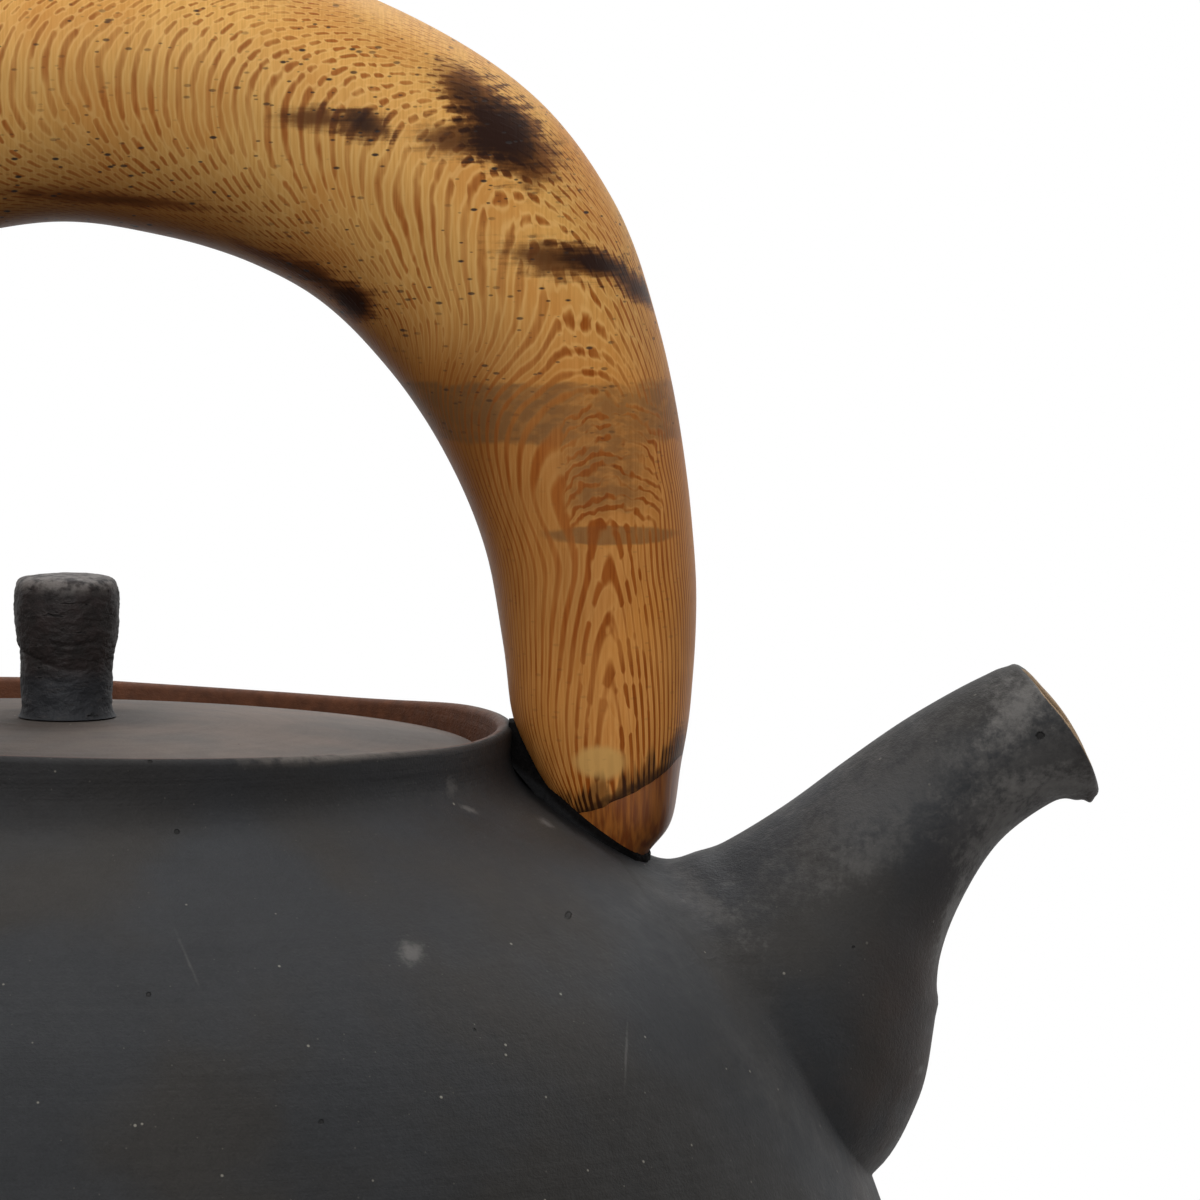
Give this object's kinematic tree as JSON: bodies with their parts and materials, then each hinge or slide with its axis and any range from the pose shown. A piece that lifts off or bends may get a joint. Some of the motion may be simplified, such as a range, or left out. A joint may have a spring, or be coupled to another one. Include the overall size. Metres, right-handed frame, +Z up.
{
  "type": "tea kettle",
  "caption": "Round stoneware tea kettle with a recessed knobbed lid, a short slanted spout and a tall carved wooden bail handle over the lid.",
  "frame": {"origin": "centre of the flat base, on the surface that the kettle stands on", "axes": "+Z up along the pot's turning axis, +X along the spout, +Y across, at right angles to the plane of the handle and the spout"},
  "size_m": [0.228, 0.208, 0.2284],
  "materials": {
    "dark_stoneware": "unglazed matt charcoal stoneware with pale specks and faint throwing marks",
    "lid_stoneware": "unglazed taupe-grey stoneware, matt and slightly mottled",
    "knob_stoneware": "rough dark brown stoneware, worn paler on top",
    "figured_wood": "oiled, strongly figured honey-brown wood with dark burn marks",
    "toe_wood": "oiled plain reddish-brown wood",
    "black_bedding": "black cured bedding compound"
  },
  "bodies": {
    "kettle": {"vessel": "dark_stoneware", "spout": "dark_stoneware", "handle": "figured_wood", "front_toe": "toe_wood", "rear_toe": "toe_wood", "front_bed": "black_bedding", "rear_bed": "black_bedding", "front_lug": "dark_stoneware", "rear_lug": "dark_stoneware"},
    "lid": {"lid": "lid_stoneware", "lid_knob": "knob_stoneware"}
  },
  "joints": [
    {"name": "lid_lift", "type": "slide", "parent": "kettle", "child": "lid", "axis": [0, 0, 1], "range_m": [0, 0.02]}
  ]
}
